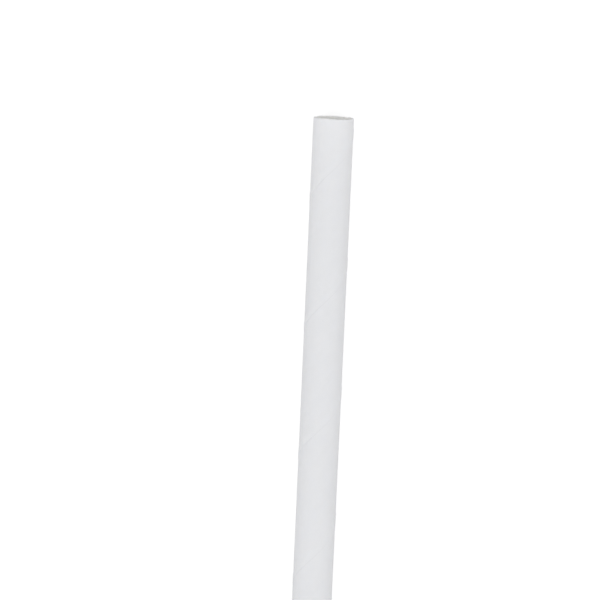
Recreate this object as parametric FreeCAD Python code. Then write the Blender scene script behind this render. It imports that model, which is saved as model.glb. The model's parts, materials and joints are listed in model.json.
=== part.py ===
import FreeCAD, Part
import math
import os

# A paper drinking straw: a thin tube wound in a spiral from glued paper strips, lying on its side.
# +Y runs along the straw, from its lower end to its drinking end, and +Z is up.
# The origin is on the surface that the straw lies on, under the middle of the straw.

# Driving dimensions, in millimetres.

STRAW_LENGTH = 197.0

# Across the plain wall, between the laps of the outer strip.
OUTER_DIAMETER = 8.0

# The glued plies together.
PAPER_WALL = 0.4

# How far the outer strip climbs along the straw in one turn.
WINDING_PITCH = 25.8

# How far each turn of the outer strip lies over the turn before, square to its edge.
LAP_WIDTH = 1.0

# How far the lap stands proud of the wall, and the width of the slope by which the strip climbs onto it.
LAP_RISE = 0.06
LAP_SLOPE_WIDTH = 0.4

# From the drinking end down to the place where the lap's free edge crosses the straw's upper side.
LAP_EDGE_BELOW_TOP = 62.0

# Sizes that follow from the driving dimensions.

OUTER_RADIUS = OUTER_DIAMETER / 2
BORE_RADIUS = OUTER_RADIUS - PAPER_WALL
LAP_RADIUS = OUTER_RADIUS + LAP_RISE

# The angle between the strip's edge and a ring round the straw.
EDGE_ANGLE = math.atan(WINDING_PITCH / (math.pi * OUTER_DIAMETER))


def along_straw(width):
    """A width measured square to the strip's edge, as it measures along the straw."""
    return width / math.cos(EDGE_ANGLE)


def plain_tube():
    """The wall without its lap, standing on +Z and a turn longer than the straw at each end."""
    foot = FreeCAD.Vector(0, 0, -WINDING_PITCH)
    height = STRAW_LENGTH + 2 * WINDING_PITCH
    outside = Part.makeCylinder(OUTER_RADIUS, height, foot)
    bore = Part.makeCylinder(BORE_RADIUS, height, foot)
    return outside.cut(bore)


def lap_section():
    """The lap's outline in the plane y = 0: a free edge, a flat crest and a slope down to the wall.

    The outline starts in mid-wall. Its slope dips as far below the outside as the crest stands above it,
    so that the two meet in a clean line.
    """
    mid_wall = OUTER_RADIUS - PAPER_WALL / 2
    dip_radius = OUTER_RADIUS - LAP_RISE
    crest_end = along_straw(LAP_WIDTH)
    dip_end = crest_end + 2 * along_straw(LAP_SLOPE_WIDTH)
    corners = [
        FreeCAD.Vector(mid_wall, 0, 0),
        FreeCAD.Vector(LAP_RADIUS, 0, 0),
        FreeCAD.Vector(LAP_RADIUS, 0, crest_end),
        FreeCAD.Vector(dip_radius, 0, dip_end),
        FreeCAD.Vector(mid_wall, 0, dip_end),
    ]
    return Part.makePolygon(corners + corners[:1])


def lap():
    """The lap of the outer strip: its section carried up a right-handed helix past both ends."""
    edge_height = STRAW_LENGTH - LAP_EDGE_BELOW_TOP
    turns_below = math.ceil(edge_height / WINDING_PITCH) + 0.5
    turns_above = math.ceil(LAP_EDGE_BELOW_TOP / WINDING_PITCH) + 0.5
    rise = (turns_below + turns_above) * WINDING_PITCH
    helix = Part.makeLongHelix(WINDING_PITCH, rise, OUTER_RADIUS, 0)
    ridge = Part.Wire(helix).makePipeShell([lap_section()], True, True)
    ridge.translate(FreeCAD.Vector(0, 0, edge_height - turns_below * WINDING_PITCH))
    # The helix starts at azimuth 0, and the straw's upper side is at azimuth -90 before it is laid down.
    start_azimuth = -90 - 360 * turns_below
    ridge.rotate(FreeCAD.Vector(0, 0, 0), FreeCAD.Vector(0, 0, 1), start_azimuth)
    return ridge


def straw_tube():
    """The whole straw: wall and lap, cut square at both ends and laid down along +Y."""
    wound = plain_tube().fuse(lap())
    between_cuts = Part.makeCylinder(2 * OUTER_RADIUS, STRAW_LENGTH)
    straw = wound.common(between_cuts)
    straw.rotate(FreeCAD.Vector(0, 0, 0), FreeCAD.Vector(1, 0, 0), -90)
    straw.translate(FreeCAD.Vector(0, -STRAW_LENGTH / 2, LAP_RADIUS))
    return straw


def main():
    os.makedirs("parts", exist_ok=True)
    straw = straw_tube()
    straw.exportStep("parts/straw_tube.step")
    box = straw.optimalBoundingBox()
    print(f"straw_tube: valid {straw.isValid()}, {len(straw.Solids)} solid, {straw.Volume:.1f} cubic mm")
    print(f"box {box.XLength:.2f} x {box.YLength:.2f} x {box.ZLength:.2f} mm, lowest {box.ZMin:.3f}")


main()
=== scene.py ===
"""The looks of a paper drinking straw: its wound tube, the fuzz on its cut rims and a small white studio.

+Y runs along the straw, from its lower end to its drinking end, and +Z is up. All sizes are in metres.
"""

import json
import math

import bpy
from mathutils import Matrix, Vector


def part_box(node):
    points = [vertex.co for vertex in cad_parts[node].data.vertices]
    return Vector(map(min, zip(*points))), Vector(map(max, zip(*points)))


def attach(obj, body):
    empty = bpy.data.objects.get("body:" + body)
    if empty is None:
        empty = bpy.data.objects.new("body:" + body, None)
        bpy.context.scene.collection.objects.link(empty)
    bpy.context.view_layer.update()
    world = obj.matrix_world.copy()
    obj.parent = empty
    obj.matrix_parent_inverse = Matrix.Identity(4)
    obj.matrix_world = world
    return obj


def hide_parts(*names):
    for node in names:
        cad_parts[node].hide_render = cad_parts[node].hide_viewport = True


bl_info = {
    "name": "Wound Paper Straw",
    "version": (1, 0, 0),
    "blender": (4, 5, 0),
    "location": "3D Viewport > Sidebar > Straw",
    "description": "Winds a white paper drinking straw and sets it in a small white studio",
    "category": "Object",
}

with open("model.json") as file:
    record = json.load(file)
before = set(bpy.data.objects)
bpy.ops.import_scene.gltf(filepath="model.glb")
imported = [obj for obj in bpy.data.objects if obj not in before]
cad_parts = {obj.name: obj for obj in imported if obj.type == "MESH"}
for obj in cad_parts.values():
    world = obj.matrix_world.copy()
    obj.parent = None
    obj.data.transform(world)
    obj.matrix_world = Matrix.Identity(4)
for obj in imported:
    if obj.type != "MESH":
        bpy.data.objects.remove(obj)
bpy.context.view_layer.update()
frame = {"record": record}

TUBE_NODE = "straw_tube"
BODY = "root"
MILLIMETRE = 0.001
STRIP_MAP = "strip_uv"
SIDE_MARK = "paper_side"

# The side mark of a face of the cuts and of the bore; the outside has none.
CUT_SIDE = 1
BORE_SIDE = 2


def mount(name):
    """One of the record's mounts."""
    return next(m for m in frame["record"]["mounts"] if m["name"] == name)


LOWEST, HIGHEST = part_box(TUBE_NODE)
STRAW_LENGTH = HIGHEST.y - LOWEST.y
AXIS_HEIGHT = mount("bore")["pos_m"][2]
BORE_RADIUS = mount("bore")["dims"]["r_mm"] * MILLIMETRE
WALL_RADIUS = mount("outside")["dims"]["r_mm"] * MILLIMETRE
LAP_RISE = HIGHEST.z - AXIS_HEIGHT - WALL_RADIUS


def length_of(name, description, default):
    """A property that holds a length."""
    return bpy.props.FloatProperty(
        name=name, description=description, default=default, precision=5, unit="LENGTH", subtype="DISTANCE"
    )


def colour_of(name, description, default):
    """A property that holds a colour."""
    return bpy.props.FloatVectorProperty(
        name=name, description=description, default=default, size=3, min=0.0, max=1.0, subtype="COLOR"
    )


def share_of(name, description, default):
    """A property that holds a share of something."""
    return bpy.props.FloatProperty(
        name=name, description=description, default=default, min=0.0, max=1.0, precision=4, subtype="FACTOR"
    )


def plain_number(name, description, default):
    """A property that holds a number without a unit."""
    return bpy.props.FloatProperty(name=name, description=description, default=default, min=0.0)


def turn_of(name, description, degrees):
    """A property that holds an angle."""
    return bpy.props.FloatProperty(
        name=name, description=description, default=math.radians(degrees), unit="ROTATION", subtype="ANGLE"
    )


def count_of(name, description, default):
    """A property that holds a whole number."""
    return bpy.props.IntProperty(name=name, description=description, default=default, min=0)


class StrawSizes(bpy.types.PropertyGroup):
    """The wound tube's own sizes."""

    length: length_of("Length", "From cut to cut", STRAW_LENGTH)
    wall_radius: length_of("Wall Radius", "From the axis to the outside, between laps", WALL_RADIUS)
    bore_radius: length_of("Bore Radius", "From the axis to the inside", BORE_RADIUS)
    axis_height: length_of("Axis Height", "Height of the straw's axis over the floor", AXIS_HEIGHT)
    winding_pitch: length_of("Winding Pitch", "Climb of the outer strip in one turn", 25.8 * MILLIMETRE)
    lap_rise: length_of("Lap Rise", "How far the lap stands proud of the wall", LAP_RISE)
    lap_width: length_of("Lap Width", "Width of the lap, square to the strip's edge", 1.0 * MILLIMETRE)
    lap_slope: length_of("Lap Slope", "Width of the slope that leads onto the lap", 0.4 * MILLIMETRE)
    lap_edge_below_top: length_of(
        "Lap Edge below Top",
        "From the drinking end down to the place where the lap's free edge crosses the upper side",
        62.0 * MILLIMETRE,
    )


class CutRims(bpy.types.PropertyGroup):
    """How the knife has left the two rims."""

    raggedness: length_of("Raggedness", "How far the deepest scallop reaches from the cut", 0.34 * MILLIMETRE)
    scallop_width: length_of("Scallop Width", "Usual width of a scallop round the rim", 1.5 * MILLIMETRE)
    crushed_length: length_of(
        "Crushed Length", "How far from the cut the knife has disturbed the wall", 1.2 * MILLIMETRE
    )
    rounding: length_of("Rounding", "How far the rim's corners are worn into the wall", 0.045 * MILLIMETRE)
    ply_groove: length_of("Ply Groove", "Depth of the lines between the plies on the cut", 0.035 * MILLIMETRE)
    fibre_count: count_of("Fibres", "Loose fibres on each rim", 110)
    fibre_length: length_of("Fibre Length", "Length of a fibre, with its buried root", 0.42 * MILLIMETRE)
    fibre_width: length_of("Fibre Width", "Thickness of a loose fibre", 0.022 * MILLIMETRE)
    seed: count_of("Seed", "Picks another set of scallops and fibres", 7)


class PaperFinish(bpy.types.PropertyGroup):
    """The paper's colours and how even they are."""

    outside_colour: colour_of("Outside", "The outer face, a cool bleached white", (0.856, 0.862, 0.882))
    cut_colour: colour_of("Cut", "The bare fibres of the cut, a little duller", (0.850, 0.850, 0.850))
    # The bore's white is set lighter than the outside's: painted light against the shade inside the bore.
    bore_colour_with_painted_light: colour_of("Bore", "The inner ply, warmer because it isn't brightened", (0.950, 0.945, 0.915))
    cloudiness: share_of("Cloudiness", "How much the paper's formation varies its brightness", 0.018)
    grain: share_of("Grain", "How much single fibres vary its brightness", 0.026)
    seam_shade: share_of("Seam Shade", "How much the foot of the lap is darkened", 0.07)
    tooth: length_of("Tooth", "Height of the paper's fibre texture", 0.012 * MILLIMETRE)
    ply_print: length_of(
        "Ply Print", "Depth of the lines that the inner plies press into the face", 0.008 * MILLIMETRE
    )
    roughness: share_of("Roughness", "Usual roughness of the matte face", 0.82)
    glow_through: share_of("Glow Through", "How much of the light goes into the paper and comes back", 0.55)
    glow_reach: length_of("Glow Reach", "How far light usually goes in the paper", 0.6 * MILLIMETRE)


class Studio(bpy.types.PropertyGroup):
    """The floor, the light and the camera."""

    floor_size: length_of("Floor Size", "Side of the white floor", 6.0)
    floor_colour: colour_of("Floor", "The floor's own white", (0.80, 0.80, 0.80))
    floor_glow: plain_number("Floor Glow", "What the floor seems to give off, which makes it white", 0.42)
    sky_strength: plain_number("Sky Strength", "Brightness of the even light all round", 0.72)
    lamp_strength: plain_number("Lamp Strength", "Power of the overhead lamp, in watts", 7.0)
    lamp_size: length_of("Lamp Size", "Side of the overhead lamp", 1.5)
    lamp_height: length_of("Lamp Height", "Height of the overhead lamp over the floor", 1.6)
    lamp_shift: length_of("Lamp Shift", "How far the lamp stands to the left of the straw", 0.12)
    camera_depth: length_of("Camera Depth", "From the camera to the drinking end, along its sight", 0.55)
    camera_tilt: turn_of("Camera Tilt", "How far the line of sight leans back from straight down", 8.2)
    straw_lean: turn_of("Straw Lean", "How far the straw leans to the right in the picture", 2.5)


# The picture and the lens: where the middle of the rim is and how wide the straw is there, in pixels.
PICTURE_SIDE = 600
RIM_PIXEL = (333.8, 117.0)
STRAW_WIDTH_PIXELS = 40.6
SENSOR_WIDTH = 36.0
NEAREST_SEEN = 0.01

# How the tube's mesh is divided: columns go round it in step with the strip, rows run along it.
FACE_COLUMNS = 72
SLOPE_COLUMNS = 3
CREST_COLUMNS = 5
OUTER_ROWS = 520
BORE_ROWS = 480
CUT_ROWS = 6

# How much closer the rows lie at the ends than in the middle, from 0 to 1.
ROW_CROWDING = 0.5

MERGE_DISTANCE = 0.000001
SHARP_ANGLE = math.radians(35)

# The glued strips of paper, which show as lines on the cuts.
PLIES = 3

# The cuts: which noise makes no scallop and which the deepest, how far apart in that noise the two ends are,
# how many roundings long a worn corner is, and how much of that wear the corner at the bore has.
SCALLOP_NOISE = (0.28, 0.72)
ENDS_APART = 3.0
WORN_LENGTH = 6.0
BORE_WEAR = 0.7

# Where a groove between plies starts and is deepest, as shares of the way through the wall.
GROOVE_START = 0.1
GROOVE_FULL = 0.3

# A loose fibre: its bow and its tip's thickness as shares of its length and width, how deep its root is,
# how much it may slant, and how its length may vary.
FIBRE_BOW = 0.22
FIBRE_TIP = 0.35
ROOT_DEPTHS = (0.25 * MILLIMETRE, 0.5 * MILLIMETRE)
FIBRE_SLANT = 0.55
FIBRE_REACH = (0.7, 1.5)

# The paper's texture, in shapes for each millimetre.
CLOUD_SCALE = 0.45
FIBRE_SCALE = 1.6
FUZZ_SCALE = 11.0

# The fibres' share of the paper's height, where the fuzz has the rest, and how far its roughness varies.
FIBRE_SHARE = 0.7
ROUGHNESS_SPREAD = 0.12

# How much coarser the paper is on the cuts and in the bore than outside, and how shiny it is.
CUT_COARSENESS = 3.0
BORE_COARSENESS = 1.5
PAPER_SHINE = 0.3

# Lines on the paper, in millimetres: the lap's shaded foot, a ply's printed line, and where prints begin.
SEAM_WIDTH = 0.16
PRINT_WIDTH = 0.35
PRINT_START = (1.0, 2.0)

# How far red, green and blue light go in the paper, as shares of the usual reach.
GLOW_SPREAD = (1.0, 0.97, 0.92)


class Wiring:
    """Adds nodes to a tree and joins them."""

    def __init__(self, tree):
        self.tree = tree

    def node(self, kind, inputs=None, **settings):
        """A node of that kind, with its settings and then its inputs, which are values or sockets."""
        made = self.tree.nodes.new(kind)
        for name, value in settings.items():
            setattr(made, name, value)
        for name, value in (inputs or {}).items():
            socket = made.inputs[name] if isinstance(name, int) else self.open_socket(made, name)
            self.join(value, socket)
        return made

    def open_socket(self, node, name):
        """The node's input of that name which its settings leave in use."""
        return next(s for s in node.inputs if s.name == name and s.enabled)

    def join(self, value, socket):
        if isinstance(value, bpy.types.NodeSocket):
            self.tree.links.new(value, socket)
        else:
            socket.default_value = value

    def maths(self, operation, *terms):
        """The result of a sum on two or three numbers."""
        return self.node("ShaderNodeMath", dict(enumerate(terms)), operation=operation).outputs[0]

    def add(self, a, b):
        return self.maths("ADD", a, b)

    def less(self, a, b):
        return self.maths("SUBTRACT", a, b)

    def times(self, a, b):
        return self.maths("MULTIPLY", a, b)

    def over(self, a, b):
        return self.maths("DIVIDE", a, b)

    def ramp(self, value, start, end, low=0.0, high=1.0, smooth=False):
        """A value that goes from low to high while another goes from start to end."""
        inputs = {"Value": value, "From Min": start, "From Max": end, "To Min": low, "To Max": high}
        kind = "SMOOTHSTEP" if smooth else "LINEAR"
        return self.node("ShaderNodeMapRange", inputs, interpolation_type=kind).outputs["Result"]

    def vector(self, x=0.0, y=0.0, z=0.0):
        return self.node("ShaderNodeCombineXYZ", {"X": x, "Y": y, "Z": z}).outputs[0]

    def noise(self, place, scale, detail=2.0, roughness=0.5):
        """Soft random values from about 0 to 1."""
        inputs = {"Vector": place, "Scale": scale, "Detail": detail, "Roughness": roughness}
        return self.node("ShaderNodeTexNoise", inputs).outputs[0]


def new_tree(name, kind, inputs, outputs):
    """An empty node tree with these sockets, its wiring, its input sockets and its output node."""
    tree = bpy.data.node_groups.new(name, kind)
    for label, socket in outputs.items():
        tree.interface.new_socket(label, in_out="OUTPUT", socket_type="NodeSocket" + socket)
    for label, socket in inputs.items():
        tree.interface.new_socket(label, in_out="INPUT", socket_type="NodeSocket" + socket)
    wiring = Wiring(tree)
    given = wiring.node("NodeGroupInput").outputs
    result = wiring.node("NodeGroupOutput")
    return tree, wiring, given, result


def tube_surface(wiring, given, column, row):
    """Where a point of the tube's mesh lies, and its place on the flat strip.

    Columns keep step with the strip: column 0 is at its lower edge and the last but one at its free edge.
    The last column drops from the lap to the wall under it, where it meets column 0.
    Rows run up the outside, over the drinking end's cut, down the bore and over the lower cut.
    """
    w = wiring
    pitch = given["Winding Pitch"]
    crest = given["Lap Crest"]
    slope = given["Lap Slope"]

    slope_start = FACE_COLUMNS
    crest_start = slope_start + SLOPE_COLUMNS
    free_edge = crest_start + CREST_COLUMNS
    slope_turn = w.less(1.0, w.over(w.add(crest, slope), pitch))
    crest_turn = w.less(1.0, w.over(crest, pitch))
    on_face = w.ramp(column, 0.0, slope_start, 0.0, slope_turn)
    on_slope = w.times(w.ramp(column, slope_start, crest_start), w.less(crest_turn, slope_turn))
    on_crest = w.times(w.ramp(column, crest_start, free_edge), w.less(1.0, crest_turn))
    turn = w.add(on_face, w.add(on_slope, on_crest))
    lap = w.less(w.ramp(column, slope_start, crest_start), w.ramp(column, free_edge, free_edge + 1))

    drinking_cut = OUTER_ROWS
    bore_start = drinking_cut + CUT_ROWS
    bore_end = bore_start + BORE_ROWS
    last_row = bore_end + CUT_ROWS
    share = w.less(w.ramp(row, 0.0, drinking_cut), w.ramp(row, bore_start, bore_end))
    depth = w.less(w.ramp(row, drinking_cut, bore_start), w.ramp(row, bore_end, last_row))
    wave = w.maths("SINE", w.times(share, math.tau))
    crowded = w.less(share, w.times(wave, ROW_CROWDING / math.tau))
    along = w.times(w.less(crowded, 0.5), given["Length"])

    angle = w.times(w.add(turn, w.over(w.less(along, given["Lap Crossing"]), pitch)), math.tau)
    sine = w.maths("SINE", angle)
    cosine = w.maths("COSINE", angle)

    # the knife's marks fade out over the crushed length
    upper = w.maths("SIGN", along)
    from_cut = w.less(w.times(given["Length"], 0.5), w.maths("ABSOLUTE", along))
    near_cut = w.ramp(from_cut, 0.0, given["Crushed Length"], 1.0, 0.0, smooth=True)
    spot = w.vector(sine, w.add(w.times(upper, ENDS_APART), given["Seed"]), cosine)
    finer = w.over(given["Wall Radius"], given["Scallop Width"])
    scallops = w.ramp(w.noise(spot, finer, 3.0, 0.6), *SCALLOP_NOISE)
    ply_line = w.maths("PINGPONG", w.times(depth, float(PLIES)), 0.5)
    in_wall = w.ramp(w.maths("PINGPONG", depth, 0.5), GROOVE_START, GROOVE_FULL)
    groove = w.times(w.times(w.less(1.0, w.times(ply_line, 2.0)), in_wall), given["Ply Groove"])
    back = w.add(w.times(scallops, given["Raggedness"]), groove)
    along = w.less(along, w.times(w.times(back, near_cut), upper))

    at_rim = w.ramp(from_cut, 0.0, w.times(given["Rounding"], WORN_LENGTH), 1.0, 0.0, smooth=True)
    worn = w.times(given["Rounding"], at_rim)
    outer = w.less(w.add(given["Wall Radius"], w.times(lap, given["Lap Rise"])), worn)
    inner = w.add(given["Bore Radius"], w.times(worn, BORE_WEAR))
    radius = w.add(outer, w.times(w.less(inner, outer), depth))
    height = w.add(w.times(radius, cosine), given["Axis Height"])
    place = w.vector(w.times(radius, sine), along, height)

    girth = w.times(given["Wall Radius"], math.tau)
    edge_angle = w.maths("ARCTAN2", pitch, girth)
    lean_cosine = w.maths("COSINE", edge_angle)
    round_tube = w.times(w.times(angle, given["Wall Radius"]), lean_cosine)
    down_strip = w.add(round_tube, w.times(along, w.maths("SINE", edge_angle)))
    across_strip = w.times(w.times(pitch, lean_cosine), turn)
    return place, w.vector(down_strip, across_strip)


def tube_tree():
    """The node tree that winds the tube from a flat grid."""
    lengths = [
        "Length", "Wall Radius", "Bore Radius", "Axis Height", "Winding Pitch", "Lap Rise", "Lap Crest",
        "Lap Slope", "Lap Crossing", "Raggedness", "Scallop Width", "Crushed Length", "Rounding",
        "Ply Groove", "Seed",
    ]
    inputs = dict.fromkeys(lengths, "Float")
    inputs |= dict.fromkeys(["Outside Paper", "Cut Paper", "Bore Paper"], "Material")
    tree, w, given, result = new_tree("Wound tube", "GeometryNodeTree", inputs, {"Mesh": "Geometry"})

    columns = FACE_COLUMNS + SLOPE_COLUMNS + CREST_COLUMNS + 2
    rows = OUTER_ROWS + BORE_ROWS + 2 * CUT_ROWS + 1
    size = {"Size X": columns - 1, "Size Y": rows - 1, "Vertices X": columns, "Vertices Y": rows}
    grid = w.node("GeometryNodeMeshGrid", size).outputs["Mesh"]
    flat = w.node("ShaderNodeSeparateXYZ", {0: w.node("GeometryNodeInputPosition").outputs[0]}).outputs
    column = w.maths("ROUND", w.add(flat["X"], (columns - 1) / 2), 0.0)
    row = w.maths("ROUND", w.add(flat["Y"], (rows - 1) / 2), 0.0)
    place, on_strip = tube_surface(w, given, column, row)

    # a face's own place on the grid is the middle of its corners, half a row up
    face_row = w.add(flat["Y"], (rows - 1) / 2)
    past_wall = w.maths("GREATER_THAN", face_row, OUTER_ROWS)
    past_cut = w.maths("GREATER_THAN", face_row, OUTER_ROWS + CUT_ROWS)
    past_bore = w.maths("GREATER_THAN", face_row, OUTER_ROWS + CUT_ROWS + BORE_ROWS)
    side = w.less(w.add(past_wall, past_cut), past_bore)

    marked = w.node(
        "GeometryNodeStoreNamedAttribute",
        {"Geometry": grid, "Name": SIDE_MARK, "Value": side},
        data_type="INT",
        domain="FACE",
    )
    mapped = w.node(
        "GeometryNodeStoreNamedAttribute",
        {"Geometry": marked.outputs[0], "Name": STRIP_MAP, "Value": on_strip},
        data_type="FLOAT2",
        domain="CORNER",
    )
    wound = w.node("GeometryNodeSetPosition", {"Geometry": mapped.outputs[0], "Position": place})
    joined = w.node(
        "GeometryNodeMergeByDistance", {"Geometry": wound.outputs[0], "Distance": MERGE_DISTANCE}
    )
    smooth = w.node("GeometryNodeSetShadeSmooth", {0: joined.outputs[0], "Shade Smooth": True}, domain="FACE")
    bend = w.node("GeometryNodeInputMeshEdgeAngle").outputs["Unsigned Angle"]
    sharp = w.maths("GREATER_THAN", bend, SHARP_ANGLE)
    creased = w.node(
        "GeometryNodeSetShadeSmooth",
        {0: smooth.outputs[0], "Selection": sharp, "Shade Smooth": False},
        domain="EDGE",
    )
    real = w.node("GeometryNodeRealizeInstances", {"Geometry": creased.outputs[0]}).outputs[0]
    inputs = {"Geometry": real, "Material": given["Outside Paper"]}
    made = w.node("GeometryNodeSetMaterial", inputs).outputs[0]
    marks = w.node("GeometryNodeInputNamedAttribute", {"Name": SIDE_MARK}, data_type="INT")
    for label, mark in {"Cut Paper": CUT_SIDE, "Bore Paper": BORE_SIDE}.items():
        chosen = w.maths("COMPARE", marks.outputs[0], mark, 0.5)
        inputs = {"Geometry": made, "Selection": chosen, "Material": given[label]}
        made = w.node("GeometryNodeSetMaterial", inputs).outputs[0]
    w.join(made, result.inputs[0])
    return tree


def fibre_tree():
    """The node tree that sets loose fibres in both rims."""
    lengths = ["Length", "Wall Radius", "Bore Radius", "Axis Height", "Fibre Length", "Fibre Width"]
    inputs = dict.fromkeys(lengths, "Float")
    inputs |= {"Fibres": "Int", "Seed": "Int", "Cut Paper": "Material"}
    tree, w, given, result = new_tree("Rim fibres", "GeometryNodeTree", inputs, {"Mesh": "Geometry"})

    def chance(low, high, salt):
        """A random number for each fibre."""
        inputs = {"Min": low, "Max": high, "Seed": w.add(given["Seed"], salt)}
        return w.node("FunctionNodeRandomValue", inputs, data_type="FLOAT").outputs["Value"]

    bow = w.node(
        "GeometryNodeCurveQuadraticBezier",
        {"Resolution": 4, "Start": (0.0, 0.0, 0.0), "Middle": (FIBRE_BOW, 0.0, 0.5), "End": (0.0, 0.0, 1.0)},
    ).outputs[0]
    thinning = w.ramp(w.node("GeometryNodeSplineParameter").outputs["Factor"], 0.0, 1.0, 1.0, FIBRE_TIP)
    slimness = w.over(w.times(given["Fibre Width"], 0.5), given["Fibre Length"])
    ring = w.node("GeometryNodeCurvePrimitiveCircle", {"Resolution": 4, "Radius": slimness}, mode="RADIUS")
    inputs = {"Curve": bow, "Profile Curve": ring.outputs["Curve"], "Scale": thinning, "Fill Caps": True}
    fibre = w.node("GeometryNodeCurveToMesh", inputs).outputs[0]

    both_rims = w.times(given["Fibres"], 2.0)
    roots = w.node("GeometryNodePoints", {"Count": both_rims}).outputs[0]
    index = w.node("GeometryNodeInputIndex").outputs[0]
    second_half = w.maths("GREATER_THAN", index, w.less(given["Fibres"], 0.5))
    upper = w.less(w.times(second_half, 2.0), 1.0)
    angle = chance(0.0, math.tau, 1)
    skin = w.times(given["Fibre Width"], 2.0)
    radius = chance(w.add(given["Bore Radius"], skin), w.less(given["Wall Radius"], skin), 2)
    buried = chance(*ROOT_DEPTHS, 3)
    along = w.times(w.less(w.times(given["Length"], 0.5), buried), upper)
    height = w.add(w.times(radius, w.maths("COSINE", angle)), given["Axis Height"])
    place = w.vector(w.times(radius, w.maths("SINE", angle)), along, height)
    planted = w.node("GeometryNodeSetPosition", {"Geometry": roots, "Position": place}).outputs[0]

    sideways = chance(-FIBRE_SLANT, FIBRE_SLANT, 4)
    upwards = chance(-FIBRE_SLANT, FIBRE_SLANT, 5)
    heading = w.vector(sideways, upper, upwards)
    aimed = w.node("FunctionNodeAlignRotationToVector", {"Vector": heading}, axis="Z").outputs[0]
    spin = w.vector(0.0, 0.0, chance(0.0, math.tau, 6))
    turned = w.node(
        "FunctionNodeRotateRotation", {"Rotation": aimed, "Rotate By": spin}, rotation_space="LOCAL"
    ).outputs[0]
    reach = w.times(given["Fibre Length"], chance(*FIBRE_REACH, 7))
    strewn = w.node(
        "GeometryNodeInstanceOnPoints",
        {"Points": planted, "Instance": fibre, "Rotation": turned, "Scale": w.vector(reach, reach, reach)},
    ).outputs[0]
    real = w.node("GeometryNodeRealizeInstances", {"Geometry": strewn}).outputs[0]

    # a fibre that would reach the floor bends along it
    tips = w.node("ShaderNodeSeparateXYZ", {0: w.node("GeometryNodeInputPosition").outputs[0]}).outputs
    clear = w.maths("MAXIMUM", tips["Z"], given["Fibre Width"])
    lifted = w.node(
        "GeometryNodeSetPosition", {"Geometry": real, "Position": w.vector(tips["X"], tips["Y"], clear)}
    ).outputs[0]
    mapped = w.node(
        "GeometryNodeStoreNamedAttribute",
        {"Geometry": lifted, "Name": STRIP_MAP, "Value": w.vector(tips["Y"], tips["X"])},
        data_type="FLOAT2",
        domain="CORNER",
    ).outputs[0]
    made = w.node("GeometryNodeSetMaterial", {"Geometry": mapped, "Material": given["Cut Paper"]}).outputs[0]
    w.join(made, result.inputs[0])
    return tree


def made_by_nodes(name, tree, settings):
    """A plain mesh object at the origin, made by a node tree with these settings."""
    piece = bpy.data.objects.new(name, bpy.data.meshes.new(name))
    bpy.context.scene.collection.objects.link(piece)
    modifier = piece.modifiers.new("Making", "NODES")
    modifier.node_group = tree
    for item in tree.interface.items_tree:
        if item.in_out == "INPUT":
            modifier[item.identifier] = settings[item.name]
    depsgraph = bpy.context.evaluated_depsgraph_get()
    mesh = bpy.data.meshes.new_from_object(piece.evaluated_get(depsgraph), depsgraph=depsgraph)
    # the tree leaves an empty slot before its own materials
    mesh.materials.pop(index=0)
    piece.modifiers.remove(modifier)
    blank = piece.data
    piece.data = mesh
    bpy.data.meshes.remove(blank)
    mesh.name = name
    return piece


def paper_surface():
    """The shader node group that every face of the paper shares."""
    name = "Paper surface"
    if name in bpy.data.node_groups:
        return bpy.data.node_groups[name]
    inputs = {
        "Strip": "Vector", "Colour": "Color", "Strip Width": "Float", "Cloudiness": "Float", "Grain": "Float",
        "Seam Shade": "Float", "Roughness": "Float", "Tooth": "Float", "Ply Print": "Float",
    }
    outputs = {"Colour": "Color", "Roughness": "Float", "Height": "Float"}
    tree, w, given, result = new_tree(name, "ShaderNodeTree", inputs, outputs)
    metre_in_mm = 1000.0
    strip = w.node("ShaderNodeVectorMath", {0: given["Strip"], "Scale": metre_in_mm}, operation="SCALE")
    flat = w.node("ShaderNodeSeparateXYZ", {0: strip.outputs[0]}).outputs

    clouds = w.noise(w.vector(flat["X"], w.times(flat["Y"], 1.4)), CLOUD_SCALE, 3.0, 0.6)
    fibres = w.noise(w.vector(w.times(flat["X"], 1.3), w.times(flat["Y"], 7.0)), FIBRE_SCALE, 4.0, 0.65)
    fuzz = w.noise(w.vector(flat["X"], flat["Y"]), FUZZ_SCALE, 2.0, 0.6)

    # the foot of the lap is just inside the strip's lower edge
    seam = w.ramp(flat["Y"], 0.0, SEAM_WIDTH, 1.0, 0.0, smooth=True)
    width = w.times(given["Strip Width"], metre_in_mm)
    thirds = w.over(w.times(flat["Y"], float(PLIES)), width)
    from_line = w.times(w.maths("PINGPONG", thirds, 0.5), w.over(width, float(PLIES)))
    inner = w.ramp(flat["Y"], *PRINT_START)
    print_line = w.times(w.ramp(from_line, 0.0, PRINT_WIDTH, 1.0, 0.0, smooth=True), inner)

    cloud_shade = w.times(w.less(clouds, 0.5), w.times(given["Cloudiness"], 2.0))
    grain_shade = w.times(w.less(fibres, 0.5), w.times(given["Grain"], 2.0))
    shade = w.less(w.add(1.0, w.add(cloud_shade, grain_shade)), w.times(seam, given["Seam Shade"]))
    tinted = w.node(
        "ShaderNodeVectorMath", {0: given["Colour"], "Scale": shade}, operation="SCALE"
    ).outputs[0]
    texture = w.add(w.times(fibres, FIBRE_SHARE), w.times(fuzz, 1.0 - FIBRE_SHARE))
    height = w.less(w.times(texture, given["Tooth"]), w.times(print_line, given["Ply Print"]))
    rough = w.add(given["Roughness"], w.times(w.less(fuzz, 0.5), ROUGHNESS_SPREAD))
    w.join(tinted, result.inputs["Colour"])
    w.join(rough, result.inputs["Roughness"])
    w.join(height, result.inputs["Height"])
    return tree


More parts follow.
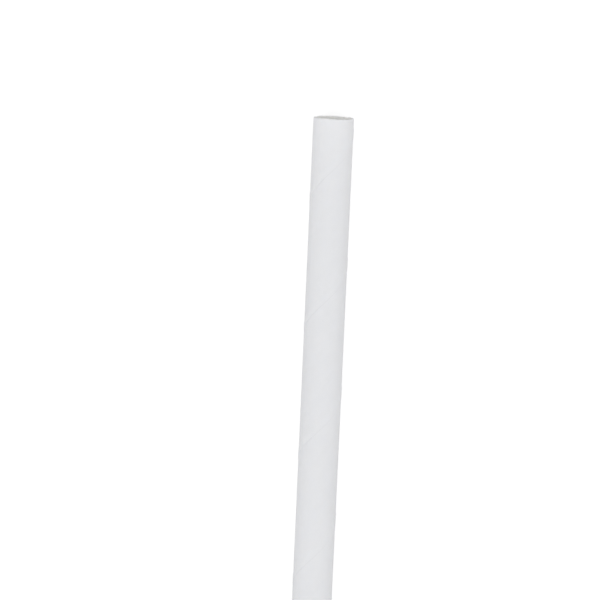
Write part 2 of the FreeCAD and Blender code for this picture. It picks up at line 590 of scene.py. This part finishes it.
def paper(name, colour, finish, strip_width, coarseness=1.0):
    """A paper material in one of the straw's whites."""
    made = bpy.data.materials.new(name)
    made.use_nodes = True
    w = Wiring(made.node_tree)
    shader = made.node_tree.nodes["Principled BSDF"]
    strip = w.node("ShaderNodeUVMap", uv_map=STRIP_MAP).outputs[0]
    surface = made.node_tree.nodes.new("ShaderNodeGroup")
    surface.node_tree = paper_surface()
    settings = {
        "Strip": strip,
        "Colour": (*colour, 1.0),
        "Strip Width": strip_width,
        "Cloudiness": finish.cloudiness * coarseness,
        "Grain": finish.grain * coarseness,
        "Seam Shade": finish.seam_shade,
        "Roughness": finish.roughness,
        "Tooth": finish.tooth * coarseness,
        "Ply Print": finish.ply_print,
    }
    for label, value in settings.items():
        w.join(value, surface.inputs[label])
    bump = w.node("ShaderNodeBump", {"Strength": 1.0, "Distance": 1.0, "Height": surface.outputs["Height"]})
    w.join(surface.outputs["Colour"], shader.inputs["Base Color"])
    w.join(surface.outputs["Roughness"], shader.inputs["Roughness"])
    w.join(bump.outputs[0], shader.inputs["Normal"])
    shader.inputs["Specular IOR Level"].default_value = PAPER_SHINE
    shader.inputs["Subsurface Weight"].default_value = finish.glow_through
    shader.inputs["Subsurface Radius"].default_value = GLOW_SPREAD
    shader.inputs["Subsurface Scale"].default_value = finish.glow_reach
    return made


def papers():
    """The straw's three papers by the names that the node trees give them."""
    names = {"Outside Paper": "outside paper", "Cut Paper": "cut paper", "Bore Paper": "bore paper"}
    if all(name in bpy.data.materials for name in names.values()):
        return {label: bpy.data.materials[name] for label, name in names.items()}
    finish = bpy.context.scene.straw_finish
    sizes = bpy.context.scene.straw_sizes
    width = sizes.winding_pitch * math.cos(edge_angle(sizes))
    return {
        "Outside Paper": paper("outside paper", finish.outside_colour, finish, width),
        "Cut Paper": paper("cut paper", finish.cut_colour, finish, width, CUT_COARSENESS),
        # the bore paper's lighter white is painted light against the shade inside the bore
        "Bore Paper": paper("bore paper", finish.bore_colour_with_painted_light, finish, width, BORE_COARSENESS),
    }


def edge_angle(sizes):
    """The angle between the strip's edge and a ring round the straw."""
    return math.atan(sizes.winding_pitch / (math.tau * sizes.wall_radius))


class WindTube(bpy.types.Operator):
    """Winds the straw's tube with its spiral lap and its two cut rims"""

    bl_idname = "straw.wind_tube"
    bl_label = "Wind Tube"

    def execute(self, context):
        sizes = context.scene.straw_sizes
        rims = context.scene.straw_rims
        stretch = 1 / math.cos(edge_angle(sizes))
        settings = {
            "Length": sizes.length,
            "Wall Radius": sizes.wall_radius,
            "Bore Radius": sizes.bore_radius,
            "Axis Height": sizes.axis_height,
            "Winding Pitch": sizes.winding_pitch,
            "Lap Rise": sizes.lap_rise,
            "Lap Crest": sizes.lap_width * stretch,
            "Lap Slope": sizes.lap_slope * stretch,
            "Lap Crossing": sizes.length / 2 - sizes.lap_edge_below_top,
            "Raggedness": rims.raggedness,
            "Scallop Width": rims.scallop_width,
            "Crushed Length": rims.crushed_length,
            "Rounding": rims.rounding,
            "Ply Groove": rims.ply_groove,
            "Seed": float(rims.seed),
        }
        tube = made_by_nodes("wound_tube", tube_tree(), settings | papers())
        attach(tube, BODY)
        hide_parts(TUBE_NODE)
        return {"FINISHED"}


class FrayRims(bpy.types.Operator):
    """Sets short loose fibres in both cut rims"""

    bl_idname = "straw.fray_rims"
    bl_label = "Fray Rims"

    def execute(self, context):
        sizes = context.scene.straw_sizes
        rims = context.scene.straw_rims
        settings = {
            "Length": sizes.length,
            "Wall Radius": sizes.wall_radius,
            "Bore Radius": sizes.bore_radius,
            "Axis Height": sizes.axis_height,
            "Fibre Length": rims.fibre_length,
            "Fibre Width": rims.fibre_width,
            "Fibres": rims.fibre_count,
            "Seed": rims.seed,
            "Cut Paper": papers()["Cut Paper"],
        }
        fibres = made_by_nodes("rim_fibres", fibre_tree(), settings)
        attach(fibres, BODY)
        return {"FINISHED"}


def seen_directly(w):
    """1 where a surface is seen by the camera, mirrored or through something clear, else 0."""
    path = w.node("ShaderNodeLightPath").outputs
    seen = w.maths("MAXIMUM", path["Is Camera Ray"], path["Is Glossy Ray"])
    return w.maths("MAXIMUM", seen, path["Is Transmission Ray"])


def white_floor(studio):
    """A big white floor that keeps soft shadows."""
    half = studio.floor_size / 2
    corners = [(-half, -half, 0.0), (half, -half, 0.0), (half, half, 0.0), (-half, half, 0.0)]
    mesh = bpy.data.meshes.new("white_floor")
    mesh.from_pydata(corners, [], [(0, 1, 2, 3)])
    floor = bpy.data.objects.new("white_floor", mesh)
    bpy.context.scene.collection.objects.link(floor)
    made = bpy.data.materials.new("floor white")
    made.use_nodes = True
    w = Wiring(made.node_tree)
    shader = made.node_tree.nodes["Principled BSDF"]
    shader.inputs["Base Color"].default_value = (*studio.floor_colour, 1.0)
    shader.inputs["Roughness"].default_value = 1.0
    shader.inputs["Specular IOR Level"].default_value = 0.0
    shader.inputs["Emission Color"].default_value = (1.0, 1.0, 1.0, 1.0)
    w.join(w.times(seen_directly(w), studio.floor_glow), shader.inputs["Emission Strength"])
    mesh.materials.append(made)


def even_sky(studio):
    """An even white light all round, which looks plain white itself."""
    sky = bpy.data.worlds.new("Even sky")
    bpy.context.scene.world = sky
    sky.use_nodes = True
    w = Wiring(sky.node_tree)
    background = sky.node_tree.nodes["Background"]
    background.inputs["Color"].default_value = (1.0, 1.0, 1.0, 1.0)
    seen = seen_directly(w)
    strength = w.add(w.times(seen, 1.0 - studio.sky_strength), studio.sky_strength)
    w.join(strength, background.inputs["Strength"])


def overhead_lamp(studio):
    """A wide soft lamp that looks straight down."""
    light = bpy.data.lights.new("overhead_lamp", "AREA")
    light.energy = studio.lamp_strength
    light.shape = "SQUARE"
    light.size = studio.lamp_size
    lamp = bpy.data.objects.new("overhead_lamp", light)
    lamp.location = (-studio.lamp_shift, 0.0, studio.lamp_height)
    bpy.context.scene.collection.objects.link(lamp)


def camera_over(studio, sizes):
    """A long lens that puts the straw's drinking end and its width where the picture has them."""
    back = Vector((0.0, math.sin(studio.camera_tilt), math.cos(studio.camera_tilt)))
    right = Vector((1.0, 0.0, 0.0))
    lean = Matrix.Rotation(studio.straw_lean, 3, "Z")
    back = lean @ back
    right = lean @ right
    up = back.cross(right)
    focal_pixels = STRAW_WIDTH_PIXELS * studio.camera_depth / (2 * sizes.wall_radius)
    half = PICTURE_SIDE / 2
    across = studio.camera_depth * (RIM_PIXEL[0] - half) / focal_pixels
    above = studio.camera_depth * (half - RIM_PIXEL[1]) / focal_pixels
    rim = Vector((0.0, sizes.length / 2, sizes.axis_height))
    place = rim - across * right - above * up + studio.camera_depth * back
    lens = bpy.data.cameras.new("camera")
    lens.sensor_width = SENSOR_WIDTH
    lens.lens = focal_pixels * SENSOR_WIDTH / PICTURE_SIDE
    lens.clip_start = NEAREST_SEEN
    camera = bpy.data.objects.new("camera", lens)
    turned = Matrix((right, up, back)).transposed().to_4x4()
    camera.matrix_world = Matrix.Translation(place) @ turned
    bpy.context.scene.collection.objects.link(camera)
    bpy.context.scene.camera = camera


class SetStage(bpy.types.Operator):
    """Sets out the floor, the light and the camera"""

    bl_idname = "straw.set_stage"
    bl_label = "Set Stage"

    def execute(self, context):
        studio = context.scene.straw_studio
        white_floor(studio)
        even_sky(studio)
        overhead_lamp(studio)
        camera_over(studio, context.scene.straw_sizes)
        context.scene.view_settings.view_transform = "Standard"
        return {"FINISHED"}


class StrawPanel(bpy.types.Panel):
    """Lists the straw's sizes, finishes and makers"""

    bl_idname = "VIEW3D_PT_paper_straw"
    bl_label = "Paper Straw"
    bl_space_type = "VIEW_3D"
    bl_region_type = "UI"
    bl_category = "Straw"

    def draw(self, context):
        for heading, (name, group, operators) in SECTIONS.items():
            box = self.layout.box()
            box.label(text=heading)
            values = getattr(context.scene, name)
            for field in group.__annotations__:
                box.prop(values, field)
            for operator in operators:
                box.operator(operator.bl_idname)


SECTIONS = {
    "Tube": ("straw_sizes", StrawSizes, [WindTube]),
    "Rims": ("straw_rims", CutRims, [FrayRims]),
    "Paper": ("straw_finish", PaperFinish, []),
    "Studio": ("straw_studio", Studio, [SetStage]),
}
CLASSES = (StrawSizes, CutRims, PaperFinish, Studio, WindTube, FrayRims, SetStage, StrawPanel)


def register():
    for one in CLASSES:
        bpy.utils.register_class(one)
    for name, group, _ in SECTIONS.values():
        setattr(bpy.types.Scene, name, bpy.props.PointerProperty(type=group))


def unregister():
    for name, _, _ in SECTIONS.values():
        delattr(bpy.types.Scene, name)
    for one in reversed(CLASSES):
        bpy.utils.unregister_class(one)


def main():
    register()
    bpy.ops.straw.set_stage()
    bpy.ops.straw.wind_tube()
    bpy.ops.straw.fray_rims()


if __name__ == "__main__":
    main()
